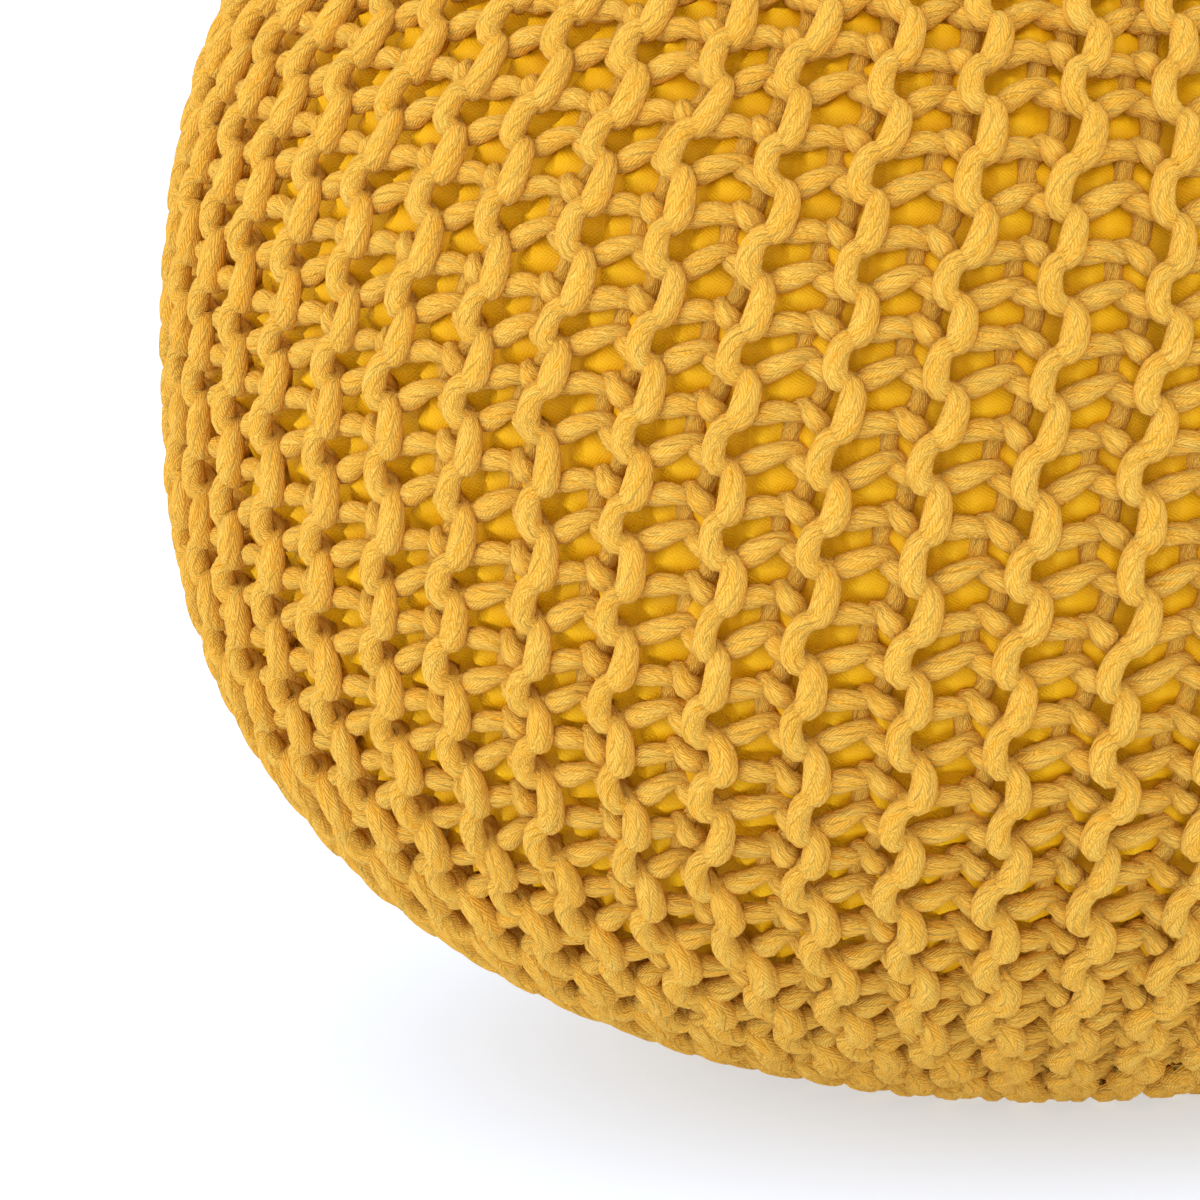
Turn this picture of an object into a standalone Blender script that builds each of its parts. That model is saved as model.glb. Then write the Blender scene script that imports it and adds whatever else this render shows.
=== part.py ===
"""Knitted pouf, 457 mm across and 356 mm high.

A cover knitted in cotton cord, its ridges running from the upper eye down to the
lower one, drawn in over a filled cushion in a plain woven casing. Metres, +Z up.
The origin is the middle of the base, on the floor.
"""
import math

import bmesh
import bpy
import numpy as np

# The pouf's outline, measured to the tops of the ridges
HALF_WIDTH = 0.2285
HEIGHT = 0.356
WAIST_HEIGHT = 0.159       # floor to the widest place
UPPER_FULLNESS = 2.76      # 2 is an ellipse, more is squarer
LOWER_FULLNESS = 2.19
FLATTENED = 0.007          # how much of the lower curve the floor presses flat

# The eyes in the middle of the top and the base, where the cover is drawn in
EYE_RADIUS = 0.016
DIMPLE_RADIUS = 0.048
TOP_DIMPLE = 0.009
BASE_DIMPLE = 0.004

# The cover: two rows of knitting make one ridge
CORD = 0.0051
RIDGES = 56
COVER_THICKNESS = 2.45 * CORD
GROOVE_THICKNESS = 1.05 * CORD
CREST_SHARE = 0.19         # half the crest's width, as a share of the ridge spacing
FOOT_SHARE = 0.27          # half the ridge's width at its foot
LEAN = 0.123               # turn of the ridges from the waist to the top, in radians

# Towards an eye every second ridge sinks away between an outer radius and an inner one,
# and of those left every second one again. Each gives part of its room to the others.
FIRST_END = (0.092, 0.074)
SECOND_END = (0.053, 0.040)
FIRST_ROOM = 0.8
SECOND_ROOM = 1.4
EYE_END = 0.030            # inside this radius the last ridges sink towards the eye

CUSHION_GAP = 0.0006

# Rings of points from eye to eye, closer together near the eyes
RINGS = 21
EYE_CROWDING = 0.55
RIDGES_PER_FACET = 2       # the smooth inner walls have one facet for two ridges


def ease(value, start, end):
    """0 at start, 1 at end, with level ends: 3t^2 - 2t^3."""
    t = np.clip((value - start) / (end - start), 0, 1)
    return t * t * (3 - 2 * t)


def outline():
    """Ring by ring, eye to eye: radius, height and the outward normal of the ridge tops.

    Two quarters of a superellipse, radius cos^(2/n) and height sin^(2/n), meet at the
    waist. The floor cuts the lower one, and a dimple draws in the middle of each end.
    """
    quarter = np.linspace(0, 1, 400)
    upper_start = math.acos((EYE_RADIUS / HALF_WIDTH) ** (UPPER_FULLNESS / 2))
    lower_end = math.acos((EYE_RADIUS / HALF_WIDTH) ** (LOWER_FULLNESS / 2))
    up = upper_start * (1 - quarter)
    down = lower_end * quarter[1:]
    radius = HALF_WIDTH * np.concatenate([np.cos(up) ** (2 / UPPER_FULLNESS),
                                          np.cos(down) ** (2 / LOWER_FULLNESS)])
    above = (HEIGHT - WAIST_HEIGHT) * np.sin(up) ** (2 / UPPER_FULLNESS)
    below = (WAIST_HEIGHT + FLATTENED) * np.sin(down) ** (2 / LOWER_FULLNESS)
    height = WAIST_HEIGHT + np.concatenate([above, -below])
    height = np.maximum(height, 0)
    dimple = 1 - ease(radius, EYE_RADIUS, DIMPLE_RADIUS)
    height += np.where(height > WAIST_HEIGHT, -TOP_DIMPLE, BASE_DIMPLE) * dimple

    length = np.concatenate([[0], np.cumsum(np.hypot(np.diff(radius), np.diff(height)))])
    tangent_r = np.gradient(radius, length)
    tangent_z = np.gradient(height, length)
    step = np.linspace(0, 1, RINGS)
    place = length[-1] * (step - EYE_CROWDING * np.sin(2 * math.pi * step) / (2 * math.pi))
    rings = [np.interp(place, length, line) for line in (radius, height, -tangent_z, tangent_r)]
    return np.array(rings)


def inward(rings, depth):
    """The same rings, moved in along their normals by depth."""
    radius, height, normal_r, normal_z = rings
    return radius - depth * normal_r, height - depth * normal_z


def turn(height):
    """Turn of a ring about Z: the ridges lean as they rise."""
    return LEAN * (height - WAIST_HEIGHT) / (HEIGHT - WAIST_HEIGHT)


def points_round(radius, height, angle):
    """Points of rings x columns from their cylindrical places."""
    return np.stack([radius * np.cos(angle), radius * np.sin(angle),
                     np.broadcast_to(height, angle.shape)], axis=-1)


def ridged_rings(rings):
    """The cover's outer wall: four columns to a ridge, foot, crest, crest, foot.

    A ridge that ends sinks to the groove's depth and narrows.
    """
    radius = rings[0][:, None]
    ridge = np.arange(RIDGES)
    odd = ridge % 2 == 1
    every_fourth = ridge % 4 == 2
    first = ease(radius, *FIRST_END)
    second = ease(radius, *SECOND_END)
    share = 1 + FIRST_ROOM * first * np.where(odd, -1, 1)
    share += SECOND_ROOM * second * np.where(odd, 0, np.where(every_fourth, -1, 1))
    raised = 1 - first * odd - second * every_fourth
    raised *= 1 - ease(radius, EYE_END, EYE_RADIUS)

    spacing = 2 * math.pi / RIDGES
    offsets = np.array([-FOOT_SHARE, -CREST_SHARE, CREST_SHARE, FOOT_SHARE])
    angle = spacing * (ridge[None, :, None] + share[:, :, None] * offsets)
    sunk = COVER_THICKNESS - GROOVE_THICKNESS
    depth = np.stack([np.full_like(raised, sunk), sunk * (1 - raised),
                      sunk * (1 - raised), np.full_like(raised, sunk)], axis=-1)
    angle = angle.reshape(RINGS, -1)
    depth = depth.reshape(RINGS, -1)
    wall_radius, wall_height = inward(rings[:, :, None], depth)
    angle = angle + turn(rings[1])[:, None]
    return points_round(wall_radius, wall_height, angle)


def smooth_rings(rings, depth):
    """An inner wall: one column for every two ridges, on the same turn."""
    radius, height = inward(rings[:, :, None], depth)
    columns = np.arange(0, RIDGES, RIDGES_PER_FACET) - FOOT_SHARE
    angle = 2 * math.pi / RIDGES * columns + turn(rings[1])[:, None]
    return points_round(np.broadcast_to(radius, angle.shape), height, angle)


def wall_faces(columns, offset, cut=False):
    """Quads between neighbouring rings of one wall whose points start at offset.

    Cut, they are triangles, all cut along the same way, so that two walls of equal
    columns keep their distance.
    """
    ring, column = np.meshgrid(np.arange(RINGS - 1), np.arange(columns), indexing="ij")
    corner = offset + ring * columns + column
    across = offset + ring * columns + (column + 1) % columns
    quads = np.stack([corner, corner + columns, across + columns, across], axis=-1)
    if cut:
        quads = np.stack([quads[..., :3], quads[..., [0, 2, 3]]])
    return quads.reshape(-1, quads.shape[-1]).tolist()


def lip_faces(ring, inner_columns, outer_columns, inner_offset):
    """Triangles that join the outer and the inner wall round an eye."""
    per_facet = outer_columns // inner_columns
    outer_start = ring * outer_columns
    inner_start = inner_offset + ring * inner_columns
    faces = []
    for facet in range(inner_columns):
        here = inner_start + facet
        after = inner_start + (facet + 1) % inner_columns
        middle = facet * per_facet + per_facet // 2
        for column in range(facet * per_facet, (facet + 1) * per_facet):
            apex = here if column < middle else after
            following = outer_start + (column + 1) % outer_columns
            faces.append((apex, outer_start + column, following))
        faces.append((here, outer_start + middle, after))
    return faces


def fabric(name, colour, roughness):
    material = bpy.data.materials.new(name)
    material.use_nodes = True
    shader = material.node_tree.nodes["Principled BSDF"]
    shader.inputs["Base Color"].default_value = (*colour, 1)
    shader.inputs["Roughness"].default_value = roughness
    material.diffuse_color = (*colour, 1)
    return material


def add_object(name, points, faces, material):
    """One closed solid, its faces turned outwards."""
    mesh = bpy.data.meshes.new(name)
    mesh.from_pydata(points.tolist(), [], faces)
    shape = bmesh.new()
    shape.from_mesh(mesh)
    bmesh.ops.recalc_face_normals(shape, faces=shape.faces)
    shape.to_mesh(mesh)
    shape.free()
    mesh.shade_smooth()
    mesh.set_sharp_from_angle(angle=math.radians(35))
    mesh.materials.append(material)
    piece = bpy.data.objects.new(name, mesh)
    bpy.context.scene.collection.objects.link(piece)
    return piece


def knit_cover(rings):
    """The knitted cover: ridged outside, smooth inside, open at both eyes."""
    outer = ridged_rings(rings)
    inner = smooth_rings(rings, COVER_THICKNESS)
    outer_columns = outer.shape[1]
    inner_columns = inner.shape[1]
    inner_offset = RINGS * outer_columns
    faces = wall_faces(outer_columns, 0)
    faces += [face[::-1] for face in wall_faces(inner_columns, inner_offset, cut=True)]
    faces += lip_faces(0, inner_columns, outer_columns, inner_offset)
    faces += [face[::-1] for face in lip_faces(RINGS - 1, inner_columns, outer_columns, inner_offset)]
    points = np.concatenate([outer.reshape(-1, 3), inner.reshape(-1, 3)])
    return add_object("knit_cover", points, faces, fabric("mustard cotton cord", (0.69, 0.35, 0.03), 0.9))


def inner_cushion(rings):
    """The filled cushion under the cover, closed over both eyes."""
    wall = smooth_rings(rings, COVER_THICKNESS + CUSHION_GAP)
    columns = wall.shape[1]
    faces = wall_faces(columns, 0, cut=True)
    poles = np.array([[0, 0, wall[0, 0, 2]], [0, 0, wall[-1, 0, 2]]])
    for column in range(columns):
        following = (column + 1) % columns
        last = (RINGS - 1) * columns
        faces.append((RINGS * columns, column, following))
        faces.append((RINGS * columns + 1, last + following, last + column))
    points = np.concatenate([wall.reshape(-1, 3), poles])
    return add_object("inner_cushion", points, faces, fabric("golden woven casing", (0.68, 0.35, 0.01), 0.6))


for old in list(bpy.data.objects):
    bpy.data.objects.remove(old)
bpy.context.scene.unit_settings.system = "METRIC"
rings = outline()
knit_cover(rings)
inner_cushion(rings)
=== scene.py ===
"""Knitted pouf: its finished look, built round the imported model. Metres, +Z up."""
import math

import bpy
import numpy as np
from mathutils import Matrix, Vector


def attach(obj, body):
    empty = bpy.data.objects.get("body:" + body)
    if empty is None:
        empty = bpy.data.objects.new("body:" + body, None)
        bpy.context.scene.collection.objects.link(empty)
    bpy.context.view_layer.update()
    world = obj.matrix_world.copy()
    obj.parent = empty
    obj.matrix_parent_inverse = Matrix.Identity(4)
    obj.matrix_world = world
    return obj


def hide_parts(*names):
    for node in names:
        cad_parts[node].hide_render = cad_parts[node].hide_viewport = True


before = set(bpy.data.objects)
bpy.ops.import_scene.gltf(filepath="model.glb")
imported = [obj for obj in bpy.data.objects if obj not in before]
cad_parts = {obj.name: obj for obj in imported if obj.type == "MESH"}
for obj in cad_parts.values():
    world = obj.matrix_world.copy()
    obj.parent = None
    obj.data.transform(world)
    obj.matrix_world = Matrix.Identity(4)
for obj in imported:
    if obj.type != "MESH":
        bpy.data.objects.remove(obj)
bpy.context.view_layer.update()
bpy.context.scene.view_settings.view_transform = "Standard"


# ---- The filled cushion -------------------------------------------------------------
# A round cushion of plain woven golden cotton, filled until it is firm. It carries the
# knitted cover and shows through the stitches, where it swells out between the cords.

HALF_WIDTH = 0.2285        # middle to the ridge tops, at the waist
HEIGHT = 0.356
WAIST_HEIGHT = 0.159       # floor to the widest place
UPPER_FULLNESS = 2.76      # 2 is an ellipse, more is squarer
LOWER_FULLNESS = 2.19
FLATTENED = 0.007          # how much of the lower curve the floor presses flat
EYE_RADIUS = 0.016         # the eyes in the middle of the top and the base
DIMPLE_RADIUS = 0.048
TOP_DIMPLE = 0.009
BASE_DIMPLE = 0.004
LEAN = 0.123               # turn of the ridges from the waist to the top, in radians

RIDGES = 56
STITCHES = 27              # along a ridge, from eye to eye
CORD = 0.0051
LIFT = 0.72 * CORD         # front and back loops lie this far from the middle of the knitting
KNIT_THICKNESS = 2 * LIFT + CORD
OUTLINE_POINTS = 1500      # in each half of the outline


def ease(value, start, end):
    """0 at start, 1 at end, with level ends: 3t^2 - 2t^3."""
    t = np.clip((value - start) / (end - start), 0, 1)
    return t * t * (3 - 2 * t)


def pouf_outline():
    """From the top's middle to the base's: length so far, radius, height, outward normal.

    Two quarters of a superellipse, radius cos^(2/n) and height sin^(2/n), meet at the
    waist. The floor cuts the lower one, and a dimple draws in the middle of each end.
    """
    up = math.pi / 2 * (1 - np.linspace(0, 1, OUTLINE_POINTS))
    down = math.pi / 2 * np.linspace(0, 1, OUTLINE_POINTS)[1:]
    radius = HALF_WIDTH * np.concatenate([np.cos(up) ** (2 / UPPER_FULLNESS),
                                          np.cos(down).clip(0) ** (2 / LOWER_FULLNESS)])
    above = (HEIGHT - WAIST_HEIGHT) * np.sin(up) ** (2 / UPPER_FULLNESS)
    below = (WAIST_HEIGHT + FLATTENED) * np.sin(down) ** (2 / LOWER_FULLNESS)
    height = np.maximum(WAIST_HEIGHT + np.concatenate([above, -below]), 0)
    dimple = 1 - ease(radius, EYE_RADIUS, DIMPLE_RADIUS)
    height += np.where(height > WAIST_HEIGHT, -TOP_DIMPLE, BASE_DIMPLE) * dimple
    length = np.concatenate([[0], np.cumsum(np.hypot(np.diff(radius), np.diff(height)))])
    return length, radius, height, -np.gradient(height, length), np.gradient(radius, length)


LENGTH, RADIUS, OUTLINE_HEIGHT, NORMAL_R, NORMAL_Z = pouf_outline()
UPPER_EYE = np.interp(EYE_RADIUS, RADIUS[:OUTLINE_POINTS], LENGTH[:OUTLINE_POINTS])
LOWER_EYE = np.interp(-EYE_RADIUS, -RADIUS[OUTLINE_POINTS:], LENGTH[OUTLINE_POINTS:])
# Places along a ridge, from the upper eye to the lower one. Columns: stitch number and
# length from the top's middle. The stitches are a little longer where the side turns under.
PLACES = np.array([(0, UPPER_EYE), (11.5, 0.2880), (17.5, 0.4237), (21.5, 0.5250),
                   (STITCHES, LOWER_EYE)])
BACK_RISE = 0.0042         # half-way between two ridges, stitches lie this much nearer the top
ASKEW = 0.018              # the cover sits askew: too low on one side, too high on the other
ASKEW_ANGLE = math.radians(263.57)     # where, half-way between the two, it sits right
FREE_TO_SLIP = (0.03, 0.15)            # radii over which the knitting gets free of the eyes


def on_pouf(side_angle, along, depth):
    """Points at an angle round the pouf, a length from the top's middle, and a depth.

    The outline gives radius, height and normal; the point lies depth in along the
    normal, and the whole turns with its height, because the ridges lean.
    """
    radius = np.interp(along, LENGTH, RADIUS) - depth * np.interp(along, LENGTH, NORMAL_R)
    height = np.interp(along, LENGTH, OUTLINE_HEIGHT)
    angle = side_angle + LEAN * (height - WAIST_HEIGHT) / (HEIGHT - WAIST_HEIGHT)
    height = height - depth * np.interp(along, LENGTH, NORMAL_Z)
    return np.stack([radius * np.cos(angle), radius * np.sin(angle), height], axis=-1)


def askew(angle, along):
    """How far the cover sits too low: a sine of the angle, fading out towards the eyes."""
    free = ease(np.interp(along, LENGTH, RADIUS), *FREE_TO_SLIP)
    return ASKEW * np.sin(angle - ASKEW_ANGLE) * free


def mesh_piece(name, points, face_groups, material, uv):
    """A smooth piece: its points, groups of faces with equal corners, one UV pair a corner."""
    mesh = bpy.data.meshes.new(name)
    corners = np.concatenate([faces.ravel() for faces in face_groups]).astype(np.int32)
    sizes = np.concatenate([np.full(len(faces), faces.shape[1]) for faces in face_groups])
    starts = np.concatenate([[0], np.cumsum(sizes)[:-1]]).astype(np.int32)
    mesh.vertices.add(len(points))
    mesh.vertices.foreach_set("co", points.astype(np.float32).ravel())
    mesh.loops.add(len(corners))
    mesh.loops.foreach_set("vertex_index", corners)
    mesh.polygons.add(len(sizes))
    mesh.polygons.foreach_set("loop_start", starts)
    mesh.update(calc_edges=True)
    mesh.polygons.foreach_set("use_smooth", np.ones(len(sizes), dtype=bool))
    mesh.uv_layers.new(name="UVMap").data.foreach_set("uv", uv.astype(np.float32).ravel())
    mesh.materials.append(material)
    piece = bpy.data.objects.new(name, mesh)
    bpy.context.scene.collection.objects.link(piece)
    return piece


class Nodes:
    """A short way to write a material's node tree."""

    def __init__(self, name):
        self.material = bpy.data.materials.new(name)
        self.material.use_nodes = True
        self.tree = self.material.node_tree
        self.shader = self.tree.nodes["Principled BSDF"]

    def put(self, socket, value):
        """Links a socket, or sets its value."""
        if isinstance(value, bpy.types.NodeSocket):
            self.tree.links.new(value, socket)
        else:
            socket.default_value = value

    def add(self, kind, *values, **settings):
        """A node of that kind, with its settings, and its first inputs in order."""
        node = self.tree.nodes.new("ShaderNode" + kind)
        for key, value in settings.items():
            if key[0].isupper():
                self.put(node.inputs[key.replace("_", " ")], value)
            else:
                setattr(node, key, value)
        for socket, value in zip(node.inputs, values):
            self.put(socket, value)
        return node

    def sum(self, operation, *values):
        """A Math node on one, two or three values."""
        return self.add("Math", *values, operation=operation).outputs[0]

    def blend(self, factor, first, second):
        """A colour between two, by a factor."""
        node = self.add("Mix", data_type="RGBA")
        self.put(node.inputs[0], factor)
        self.put(node.inputs[6], first)
        self.put(node.inputs[7], second)
        return node.outputs[2]


THREADS_APART = 0.00105    # from one thread of the weave to the next but one
WEAVE_RELIEF = 0.00006


def casing_cotton():
    """Fine plain weave: two sets of threads slanting across the ridges, on the UV map.

    UV is in metres. Each set is a sine wave, and their product makes the threads pass
    over one another in turn.
    """
    nodes = Nodes("golden casing cotton")
    uv = nodes.add("UVMap", uv_map="UVMap").outputs[0]
    turned = nodes.add("Mapping", Vector=uv, Rotation=(0, 0, math.radians(15))).outputs[0]
    parts = nodes.add("SeparateXYZ", turned)
    waves = 2 * math.pi / THREADS_APART
    warp = nodes.sum("SINE", nodes.sum("MULTIPLY", parts.outputs[0], waves))
    weft = nodes.sum("SINE", nodes.sum("MULTIPLY", parts.outputs[1], waves))
    weave = nodes.sum("MULTIPLY", warp, weft)
    slub = nodes.add("TexNoise", Vector=uv, Scale=900.0, Detail=2.0).outputs[0]
    relief = nodes.sum("MULTIPLY_ADD", slub, 0.8, weave)
    bump = nodes.add("Bump", Height=relief, Strength=1.0, Distance=WEAVE_RELIEF).outputs[0]
    cloud = nodes.add("TexNoise", Vector=uv, Scale=60.0, Detail=2.0).outputs[0]
    even = nodes.sum("MULTIPLY_ADD", cloud, 0.8, 0.1)
    shade = nodes.sum("MULTIPLY_ADD", weave, 0.3, even)
    colour = nodes.blend(shade, (0.76, 0.35, 0.003, 1), (0.92, 0.52, 0.008, 1))
    nodes.put(nodes.shader.inputs["Base Color"], colour)
    nodes.put(nodes.shader.inputs["Normal"], bump)
    nodes.shader.inputs["Roughness"].default_value = 0.48
    nodes.shader.inputs["Specular IOR Level"].default_value = 0.12
    return nodes.material


CUSHION_COLUMNS = 8 * RIDGES
CUSHION_ROWS = 6 * STITCHES + 9
CASING_GAP = 0.0002        # between the casing and the back of the knitting
SWELL = 0.0066             # how far the casing swells into a gap of the knitting
LEAST_SWELL = 0.05         # share of it that is left under the cords
DOME_POWER = 1.4           # above 1 a dome's foot is narrower than a sine's
GAPS_OPEN = (0.008, 0.022)     # ridge spacings over which the gaps open
BACK_RIGHT = 0.0029        # a back ridge lies this far right of half-way,
BACK_CROOK = 0.0027        # and its loops this much to each side of its own line
NARROW = 0.012             # the same share of a spacing from here down


def grid_faces(rows, columns, close_rows=False):
    """Quads of a grid of rows x columns that closes round, and their UV steps.

    The steps are whole numbers of rows and columns for each corner; past the last column
    they go on counting, so that a pattern runs on over the seam.
    """
    row, column = np.meshgrid(np.arange(rows if close_rows else rows - 1), np.arange(columns),
                              indexing="ij")
    steps = np.stack([np.stack([row, column], axis=-1), np.stack([row + 1, column], axis=-1),
                      np.stack([row + 1, column + 1], axis=-1), np.stack([row, column + 1], axis=-1)],
                     axis=2).reshape(-1, 4, 2)
    faces = steps[..., 0] % rows * columns + steps[..., 1] % columns
    return faces, steps


def cushion():
    """Rings of points, pole to pole, just under the knitting.

    The casing lies at the knitting's back face and swells out in each gap between a front
    ridge, a back ridge and two legs: a dome, sine by sine, lower in a narrow gap. The back
    ridge is crooked, a cosine of one stitch.
    """
    inset = 0.2 * UPPER_EYE
    ring_length = np.linspace(inset, LENGTH[-1] - inset, CUSHION_ROWS)
    column_angle = 2 * math.pi * np.arange(CUSHION_COLUMNS) / CUSHION_COLUMNS
    along, angle = np.meshgrid(ring_length, column_angle, indexing="ij")
    rise = BACK_RISE * (1 - np.cos(RIDGES * angle)) / 2
    number = np.interp(along + rise - askew(angle, along), PLACES[:, 1], PLACES[:, 0])
    spacing = np.interp(along, LENGTH, RADIUS) * 2 * math.pi / RIDGES
    back = 0.5 + (BACK_RIGHT - BACK_CROOK * np.cos(2 * math.pi * number)) / spacing.clip(NARROW)
    share = angle * RIDGES / (2 * math.pi) % 1
    width = np.where(share < back, back, 1 - back)
    across = np.sin(math.pi * np.where(share < back, share, 1 - share) / width)
    dome = across * np.abs(np.cos(2 * math.pi * number)) * np.minimum(2 * width, 1)
    share_swollen = LEAST_SWELL + (1 - LEAST_SWELL) * dome ** DOME_POWER
    swell = SWELL * share_swollen * ease(spacing, *GAPS_OPEN)
    rings = on_pouf(angle, along, KNIT_THICKNESS + CASING_GAP - swell)
    poles = np.array([[0, 0, rings[0, 0, 2]], [0, 0, rings[-1, 0, 2]]])
    points = np.concatenate([rings.reshape(-1, 3), poles])

    quads, steps = grid_faces(CUSHION_ROWS, CUSHION_COLUMNS)
    here = np.arange(CUSHION_COLUMNS)
    after = (here + 1) % CUSHION_COLUMNS
    last = (CUSHION_ROWS - 1) * CUSHION_COLUMNS
    upper = np.full(CUSHION_COLUMNS, rings.shape[0] * CUSHION_COLUMNS)
    caps = np.concatenate([np.stack([upper, here, after], axis=-1),
                           np.stack([upper + 1, last + after, last + here], axis=-1)])
    metres = np.array([ring_length[1] - ring_length[0], HALF_WIDTH * column_angle[1]])
    quad_uv = (steps * metres)[..., ::-1].reshape(-1, 2)
    cap_uv = points[caps.ravel(), :2]
    return mesh_piece("inner_cushion_casing", points, [quads, caps], casing_cotton(),
                      np.concatenate([quad_uv, cap_uv]))


casing = cushion()
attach(casing, "root")
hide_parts("inner_cushion")


# ---- The knitted cover --------------------------------------------------------------
# Garter stitch in soft mustard cotton cord, knitted by hand. Every ridge is two rows
# whose loops interlock, and the rows run from eye to eye. Towards the eyes the maker
# turns back early, so that every second ridge ends, and then every second one again.

STITCH = (LOWER_EYE - UPPER_EYE) / STITCHES
MIDDLE_DEPTH = LIFT + CORD / 2         # of the middle of the knitting, under the ridge tops
BESIDE = 0.0030            # the two rows of a ridge lie this far to each side of its line
FIRST_END = (0.088, 0.070)     # the radii over which the odd ridges give up their room
SECOND_END = (0.050, 0.038)    # and those over which half of the others do
LAST_ROOM = 0.0034         # a ridge turns back where its rows reach no further than this

# Half a stitch of each row, from the middle of its front loop to the middle of its back
# loop. Columns: share of the way to the back ridge, sideways in BESIDE, along in stitches,
# out of the middle in cords, thickness in cords.
LEFT_ROW = np.array([
    (0.0, -1.00, 0.000, 0.70, 1.36),
    (0.0, -0.90, 0.150, 0.66, 1.32),
    (0.0, -0.25, 0.258, 0.32, 1.08),
    (0.0, 0.90, 0.285, -0.22, 0.94),
    (0.5, 0.00, 0.250, 0.06, 1.20),
    (1.0, -1.20, 0.235, 0.02, 0.98),
    (1.0, -0.55, 0.215, -0.40, 0.96),
    (1.0, 0.20, 0.330, -0.80, 1.00),
    (1.0, 0.30, 0.500, -0.86, 1.00)])
RIGHT_ROW = np.array([
    (0.0, -0.86, 0.000, 0.78, 1.22),
    (0.0, -0.70, 0.150, 0.74, 1.20),
    (0.0, 0.05, 0.245, 0.50, 1.06),
    (0.0, 1.00, 0.262, -0.16, 0.94),
    (0.5, 0.00, 0.250, -0.04, 1.20),
    (1.0, -0.60, 0.210, -0.05, 0.98),
    (1.0, 0.50, 0.190, -0.45, 0.96),
    (1.0, 1.45, 0.330, -0.80, 1.00),
    (1.0, 1.65, 0.500, -0.86, 1.00)])
BACK_ASIDE = 0.04          # the back ridges lie right of half-way by this share of a spacing
BACK_FREE = (0.10, 0.14)   # radii over which they come to lie so
LOOP_LEAN = -0.0003        # how far right of its middle a front loop's lower end lies
TURNS_UNDER = (0.42, 0.51)     # lengths from the top's middle over which the side turns under
FATTER = 0.12              # the slack cord is fatter there by this share of itself,
FLATTER = 0.25             # the stitch is flatter by this share,
HIGHER = 0.22              # and it is raised by this many cords
FATTER_END = 0.07          # a front loop's lower end is this much fatter than its middle
NARROW_ROW = 0.45          # where there is little room, a row lies this share of it beside the line
CORD_FLATNESS = 0.94       # the cord's height is this share of its width
UNEVEN_CORD = 0.045        # how uneven its thickness is: standard deviation, and the most
MOST_UNEVEN = 0.1
UNEVEN = 0.00032           # most that one wave of unevenness pulls the knitting, in metres


def stitch_waves(half):
    """The stitch as sixteen points round a full period, and from them its waves.

    The second half mirrors the first. The steady advance of one stitch a period is left
    out.
    """
    mirrored = half[7:0:-1].copy()
    mirrored[:, 2] = 1 - mirrored[:, 2]
    period = np.concatenate([half, mirrored])
    period[:, 2] -= np.arange(16) / 16
    waves = np.fft.rfft(period, axis=0) / 16
    waves[1:8] *= 2
    return waves


ROW_WAVES = {1: stitch_waves(RIGHT_ROW), -1: stitch_waves(LEFT_ROW)}


def row_course(side, stitches):
    """Where a row's cord runs, for places counted in stitches: the five columns above.

    The sum of the stitch's waves, each e^(2 pi i n t), plus the steady advance.
    """
    turns = np.exp(2j * math.pi * stitches[:, None] * np.arange(9))
    course = (turns @ ROW_WAVES[side]).real
    course[:, 2] += stitches
    return course


def unevenness(angle, along):
    """How far the knitting is pulled sideways and along, in metres: a sum of long waves.

    Each wave is sin(n angle + m along + phase), with whole n so that it closes round.
    """
    draw = np.random.default_rng(11)
    waves = 26
    around = draw.integers(-34, 35, waves)
    lengthwise = draw.uniform(20, 150, waves)
    phase = draw.uniform(0, 2 * math.pi, (2, waves))
    size = draw.uniform(0.4, 1, (2, waves)) * UNEVEN
    shape = angle.shape
    wave = angle.ravel()[:, None] * around + along.ravel()[:, None] * lengthwise
    sideways = (np.sin(wave + phase[0]) * size[0]).sum(axis=1)
    lengthways = (np.sin(wave + phase[1]) * size[1]).sum(axis=1)
    return sideways.reshape(shape), lengthways.reshape(shape)


def place_of(number):
    """The length from the top's middle at a stitch number."""
    return np.interp(number, PLACES[:, 0], PLACES[:, 1])


def room_share(ridge, radius):
    """How far a row of this ridge reaches to its back ridge, in ridge spacings."""
    first = ease(radius, *FIRST_END)
    second = ease(radius, *SECOND_END)
    if ridge % 2:
        return 0.5 * (1 - first)
    if ridge % 4:
        return 0.5 * (1 + first) * (1 - second)
    return 0.5 * (1 + first) + second


def ridge_ends(ridge):
    """First and last whole stitch of a ridge: all of them, or those with room to work."""
    place = np.arange(STITCHES + 1)
    radius = np.interp(place_of(place), LENGTH, RADIUS)
    reach = room_share(ridge, radius) * 2 * math.pi / RIDGES * radius
    open_places = place[reach > (LAST_ROOM if ridge % 4 else 0)]
    return open_places[0], open_places[-1]


def turn_back(start, end, pull, points):
    """A hand-over from one row's end to the next: a Hermite curve pulled along by pull."""
    t = np.linspace(0, 1, points + 2)[1:-1, None]
    out = np.array([0, pull, 0, 0])
    return ((2 * t**3 - 3 * t**2 + 1) * start + (t**3 - 2 * t**2 + t) * out
            + (3 * t**2 - 2 * t**3) * end - (t**3 - t**2) * out)


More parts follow.
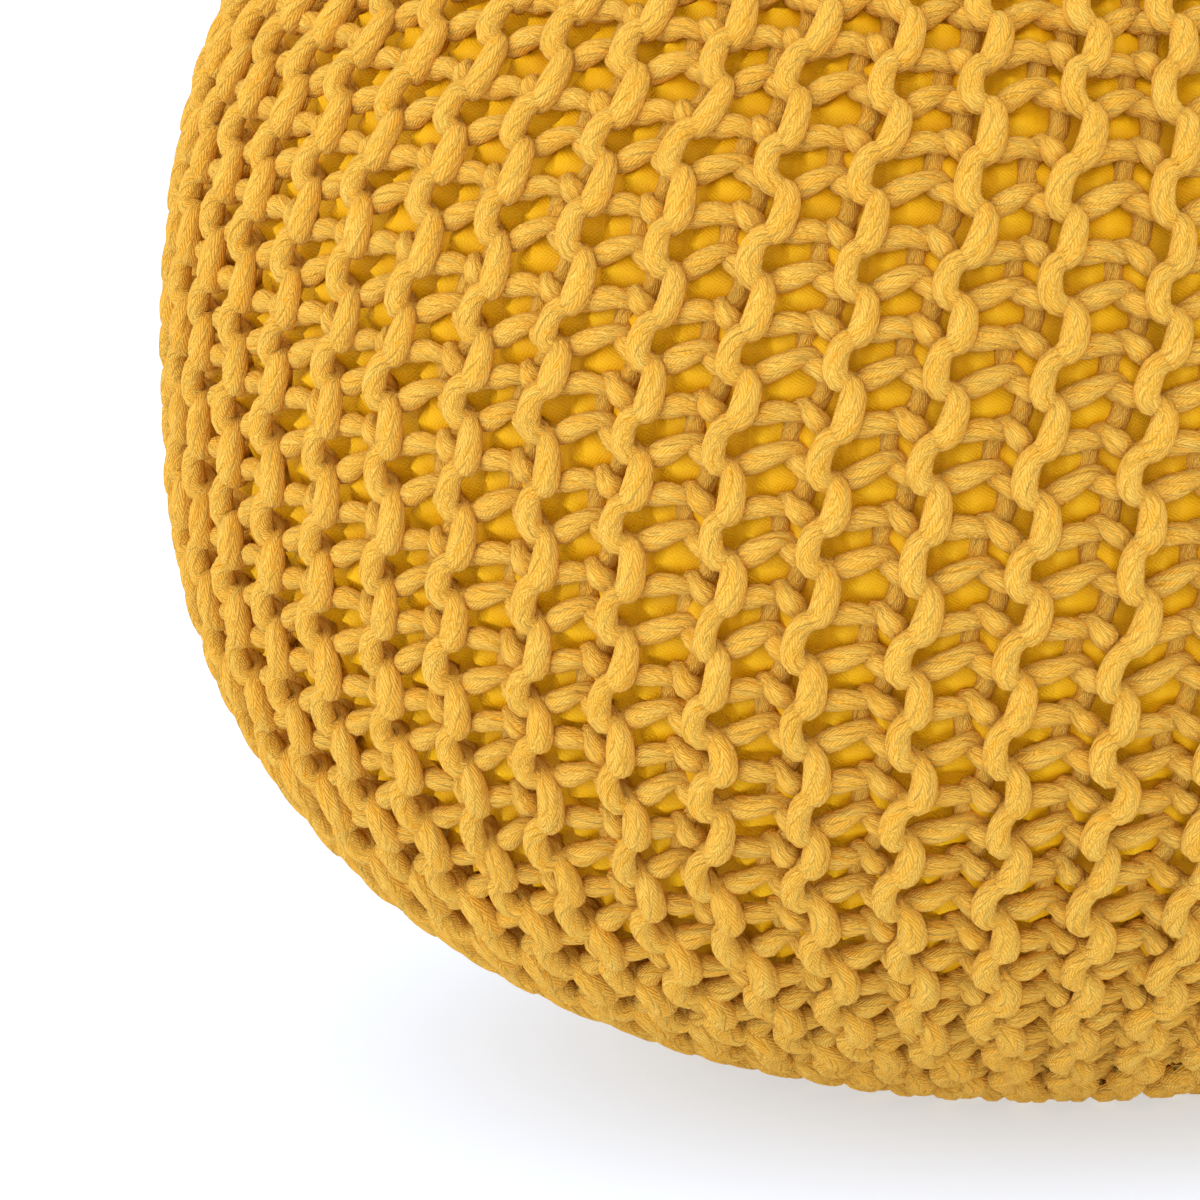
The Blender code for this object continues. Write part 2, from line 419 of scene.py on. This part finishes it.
def ridge_course(ridge, per_stitch):
    """The closed course of a ridge's two rows: sideways, along, out and thick, in metres.

    The right row goes down and the left row comes back, mirrored and half a stitch on.
    """
    first, last = ridge_ends(ridge)
    rows = []
    for side, start, end in ((1, first + 0.5, last - 0.5), (-1, last, first)):
        stitches = np.linspace(start, end, int(abs(end - start) * per_stitch) + 1)
        phase = 0 if side > 0 else 0.5
        share, beside, number, out, thick = row_course(side, stitches + phase).T
        lower_end = (1 - share) * np.sin(2 * math.pi * number)
        along = place_of(number - phase)
        radius = np.interp(along, LENGTH, RADIUS) - MIDDLE_DEPTH
        share_of_room = room_share(ridge, radius) + side * BACK_ASIDE * ease(radius, *BACK_FREE)
        reach = share_of_room * 2 * math.pi / RIDGES * radius
        width = np.minimum(BESIDE, NARROW_ROW * reach)
        sideways = share * reach + beside * width + side * LOOP_LEAN * lower_end
        along = along - BACK_RISE * np.sin(math.pi / 2 * np.clip(sideways / reach.clip(0.001), 0, 1)) ** 2
        slack = ease(along, *TURNS_UNDER)
        thick = thick * (1 + FATTER * slack + FATTER_END * lower_end)
        out = out + slack * (HIGHER - FLATTER * out)
        rows.append(np.stack([side * sideways, along, CORD * out, CORD * thick], axis=-1))
    down, back = rows
    turn_points = per_stitch // 2
    lower_turn = turn_back(down[-1], back[0], 2 * STITCH, turn_points)
    upper_turn = turn_back(back[-1], down[0], -2 * STITCH, turn_points)
    return np.concatenate([down, lower_turn, back, upper_turn])


def cord_tube(course, ridge, sides, draw):
    """Points and UV of the cord along one ridge's course.

    Rings stand square to the course. Their height direction is the pouf's normal, made
    square to the cord. The cord is a little flat, of uneven thickness, and the floor
    presses it flat. U goes once round it and V counts lengths equal to its girth.
    """
    sideways, along, out, thick = course.T
    radius = np.interp(along, LENGTH, RADIUS) - MIDDLE_DEPTH
    ridge_angle = 2 * math.pi * ridge / RIDGES
    pull_side, pull_along = unevenness(ridge_angle + sideways / radius.clip(0.01), along)
    free = ease(radius, *FREE_TO_SLIP)
    angle = ridge_angle + (sideways + pull_side * free) / radius.clip(0.004)
    along = along + pull_along * free + askew(angle, along)
    middle = on_pouf(angle, along, MIDDLE_DEPTH - out)
    outward = middle - on_pouf(angle, along, MIDDLE_DEPTH - out + CORD)
    forward = np.roll(middle, -1, axis=0) - np.roll(middle, 1, axis=0)
    forward /= np.linalg.norm(forward, axis=1, keepdims=True)
    across = np.cross(forward, outward)
    across /= np.linalg.norm(across, axis=1, keepdims=True)
    upright = np.cross(across, forward)

    count = len(course)
    length = np.cumsum(np.linalg.norm(middle - np.roll(middle, 1, axis=0), axis=1))
    places = count // 5
    swelling = np.interp(length, np.linspace(0, length[-1], places),
                         draw.normal(0, UNEVEN_CORD, places).clip(-MOST_UNEVEN, MOST_UNEVEN))
    size = (thick / 2 * (1 + swelling))[:, None, None]
    turn = 2 * math.pi * np.arange(sides) / sides
    ring = (np.cos(turn)[:, None] * across[:, None]
            + CORD_FLATNESS * np.sin(turn)[:, None] * upright[:, None])
    points = middle[:, None] + size * ring
    points[..., 2] = points[..., 2].clip(0)
    return points.reshape(-1, 3), length / (math.pi * CORD)


def knitted_ridges(name, ridges, sides, per_stitch, material, seed):
    """Some neighbouring ridges of the cover as one piece."""
    draw = np.random.default_rng(seed)
    all_points, all_faces, all_uv = [], [], []
    offset = 0
    for ridge in ridges:
        points, girths = cord_tube(ridge_course(ridge, per_stitch), ridge, sides, draw)
        faces, steps = grid_faces(len(girths), sides, close_rows=True)
        girths = np.append(girths, 2 * girths[-1] - girths[-2])
        all_uv.append(np.stack([steps[..., 1] / sides, girths[steps[..., 0]]], axis=-1).reshape(-1, 2))
        all_points.append(points)
        all_faces.append(faces + offset)
        offset += len(points)
    piece = mesh_piece(name, np.concatenate(all_points), [np.concatenate(all_faces)], material,
                       np.concatenate(all_uv))
    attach(piece, "root")
    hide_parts("knit_cover")
    return piece


COLUMNS_OF_THREADS = 7.0   # round the cord: a whole number, so that they close
THREADS_A_GIRTH = 11.2     # along the cord, in a length equal to its girth
FOLD = 4.0                 # how many threads' width the V of a thread is deep
CORD_RELIEF = 0.001


def cotton_cord():
    """Soft cotton cord: a narrow tube of threads in columns of V shapes, and fine fibres.

    Seven columns go round the cord. A thread is the size of a sine of the length along the
    cord, bent to a V by folding the place across its column. Noise on a cylinder, (cos a,
    sin a, length) with a turning as the cord goes on, makes them stray and adds the fibres.
    """
    nodes = Nodes("mustard cotton cord")
    parts = nodes.add("SeparateXYZ", nodes.add("UVMap", uv_map="UVMap").outputs[0])
    around, girths = parts.outputs[0], parts.outputs[1]

    def winding(slant, roundness, stretch):
        """A point on the wound cylinder: slant in turns a girth, then its two scales."""
        angle = nodes.sum("MULTIPLY", nodes.sum("MULTIPLY_ADD", girths, slant, around), 2 * math.pi)
        return nodes.add("CombineXYZ", nodes.sum("MULTIPLY", nodes.sum("COSINE", angle), roundness),
                         nodes.sum("MULTIPLY", nodes.sum("SINE", angle), roundness),
                         nodes.sum("MULTIPLY", girths, stretch)).outputs[0]

    bundles = nodes.add("TexNoise", Vector=winding(0.42, 2.0, 2.2), Scale=1.0, Detail=1.0).outputs[0]
    strays = nodes.add("TexNoise", Vector=winding(0.3, 3.0, 4.0), Scale=1.0, Detail=1.0).outputs[0]
    column = nodes.sum("MULTIPLY_ADD", around, COLUMNS_OF_THREADS,
                       nodes.sum("MULTIPLY_ADD", girths, 1.2, strays))
    fold = nodes.sum("PINGPONG", column, 0.5)
    row = nodes.sum("MULTIPLY_ADD", girths, THREADS_A_GIRTH,
                    nodes.sum("MULTIPLY_ADD", strays, 3.0, nodes.sum("MULTIPLY", fold, FOLD)))
    thread = nodes.sum("ABSOLUTE", nodes.sum("SINE", nodes.sum("MULTIPLY", row, math.pi)))
    fibres = nodes.add("TexNoise", Vector=winding(0.30, 18.0, 12.0), Scale=1.0, Detail=2.0).outputs[0]
    relief = nodes.sum("MULTIPLY_ADD", bundles, 0.7,
                       nodes.sum("MULTIPLY_ADD", thread, 0.22, nodes.sum("MULTIPLY", fibres, 0.14)))
    bump = nodes.add("Bump", Height=relief, Strength=1.0, Distance=CORD_RELIEF).outputs[0]
    # Painted shade: the grooves between the threads take the darker, redder colour, standing in for the
    # shade down in them; the bundles noise adds random tone of its own.
    gap = nodes.sum("MINIMUM", nodes.sum("MULTIPLY", thread, 2.0), 1.0)
    shade = nodes.sum("MULTIPLY_ADD", gap, 0.7, nodes.sum("MULTIPLY_ADD", bundles, 1.0, -0.45))
    colour = nodes.blend(shade, (0.84, 0.33, 0.002, 1), (0.84, 0.52, 0.095, 1))
    nodes.put(nodes.shader.inputs["Base Color"], colour)
    nodes.put(nodes.shader.inputs["Normal"], bump)
    nodes.shader.inputs["Roughness"].default_value = 0.9
    nodes.shader.inputs["Specular IOR Level"].default_value = 0.02
    nodes.shader.inputs["Sheen Weight"].default_value = 0.15
    nodes.shader.inputs["Sheen Roughness"].default_value = 0.5
    nodes.shader.inputs["Sheen Tint"].default_value = (1.0, 0.75, 0.30, 1)
    return nodes.material


knit_cotton = cotton_cord()
FIRST_FINE = 28            # the first of the 18 ridges nearest the camera, which are made finer
FINE = (10, 30)            # points round the cord, and rings of them a stitch
COARSE = (6, 16)
for part in range(3):
    start = FIRST_FINE + 6 * part
    knitted_ridges(f"knit_cover_front_{part + 1}", range(start, start + 6), *FINE, knit_cotton, part)
for part, count in enumerate((13, 13, 12)):
    start = FIRST_FINE + 18 + 13 * part
    knitted_ridges(f"knit_cover_back_{part + 1}", range(start, start + count), *COARSE,
                   knit_cotton, 3 + part)


# ---- Floor, light and camera --------------------------------------------------------
# A floor without an edge that glows, painted light that makes it white, and glows less near
# the pouf, a painted shadow; an even white sky with a broad lamp in front and another
# on the left, and a long lens a little above the pouf, on its lower left side.

floor_mesh = bpy.data.meshes.new("floor")
FLOOR_HALF = 40.0
PAINTED_SHADOW_RADII = (0.11, 0.20)    # the floor glows, painted light, less at the pouf and more away from it, so that it is white, its lesser glow paints shadow by the pouf, and the cast shadow stays soft
FLOOR_GLOW = (0.55, 0.64)      # so that it is white and the pouf's shadow stays soft
floor_mesh.from_pydata([(-FLOOR_HALF, -FLOOR_HALF, 0), (FLOOR_HALF, -FLOOR_HALF, 0),
                        (FLOOR_HALF, FLOOR_HALF, 0), (-FLOOR_HALF, FLOOR_HALF, 0)], [], [(0, 1, 2, 3)])
floor = bpy.data.objects.new("floor", floor_mesh)
bpy.context.scene.collection.objects.link(floor)
glowing_floor = Nodes("glowing floor")
# Its bluish base colour takes the orange out of the light that the pouf throws on it, so that the shadow
# near the pouf looks grey.
glowing_floor.shader.inputs["Base Color"].default_value = (0.33, 0.42, 0.60, 1)
glowing_floor.shader.inputs["Roughness"].default_value = 0.9
glowing_floor.shader.inputs["Emission Color"].default_value = (1, 1, 1, 1)
spot = glowing_floor.add("TexCoord").outputs["Object"]
from_pouf = glowing_floor.add("VectorMath", spot, operation="LENGTH").outputs["Value"]
glow = glowing_floor.add("MapRange", from_pouf, *PAINTED_SHADOW_RADII, *FLOOR_GLOW).outputs[0]
glowing_floor.put(glowing_floor.shader.inputs["Emission Strength"], glow)
floor_mesh.materials.append(glowing_floor.material)

world = bpy.data.worlds.new("studio")
bpy.context.scene.world = world
world.use_nodes = True
sky = world.node_tree.nodes["Background"]
sky.inputs["Color"].default_value = (1, 1, 1, 1)
sky.inputs["Strength"].default_value = 1.24


def soft_lamp(name, place, target, width, power):
    """A square lamp that faces its target."""
    lamp = bpy.data.lights.new(name, "AREA")
    lamp.size = width
    lamp.energy = power
    holder = bpy.data.objects.new(name, lamp)
    facing = (Vector(target) - Vector(place)).to_track_quat("-Z", "Y")
    holder.matrix_world = Matrix.Translation(place) @ facing.to_matrix().to_4x4()
    bpy.context.scene.collection.objects.link(holder)


POUF_MIDDLE = (0, 0, 0.17)
soft_lamp("front lamp", (0.39, -3.64, 1.12), POUF_MIDDLE, 2.34, 18)
soft_lamp("side lamp", (-2.6, -1.2, 0.9), POUF_MIDDLE, 1.8, 22)

DISTANCE = 3.00
ELEVATION = math.radians(11.6)
AZIMUTH = math.radians(2.63)
ROLL = math.radians(-1.6)
FRAME_PIXELS = 1200
LENS_PIXELS = 11802
MIDDLE_PIXEL = Vector((1064, 414))     # where the middle of the waist lies in the picture

camera_data = bpy.data.cameras.new("camera")
camera_data.sensor_width = 36
camera_data.lens = LENS_PIXELS * camera_data.sensor_width / FRAME_PIXELS
camera_data.clip_end = 200
camera = bpy.data.objects.new("camera", camera_data)
bpy.context.scene.collection.objects.link(camera)
bpy.context.scene.camera = camera
to_pouf = Vector((-math.sin(AZIMUTH) * math.cos(ELEVATION), math.cos(AZIMUTH) * math.cos(ELEVATION),
                  -math.sin(ELEVATION)))
level = to_pouf.cross(Vector((0, 0, 1))).normalized()
upright = level.cross(to_pouf)
right = math.cos(ROLL) * level + math.sin(ROLL) * upright
up = -math.sin(ROLL) * level + math.cos(ROLL) * upright
aside = (MIDDLE_PIXEL.x - FRAME_PIXELS / 2) / LENS_PIXELS
above = (FRAME_PIXELS / 2 - MIDDLE_PIXEL.y) / LENS_PIXELS
look = (to_pouf - aside * right - above * up).normalized()
right = (right - right.dot(look) * look).normalized()
up = right.cross(look)
axes = Matrix((right, up, -look)).transposed().to_4x4()
camera.matrix_world = Matrix.Translation(Vector((0, 0, WAIST_HEIGHT)) - DISTANCE * to_pouf) @ axes
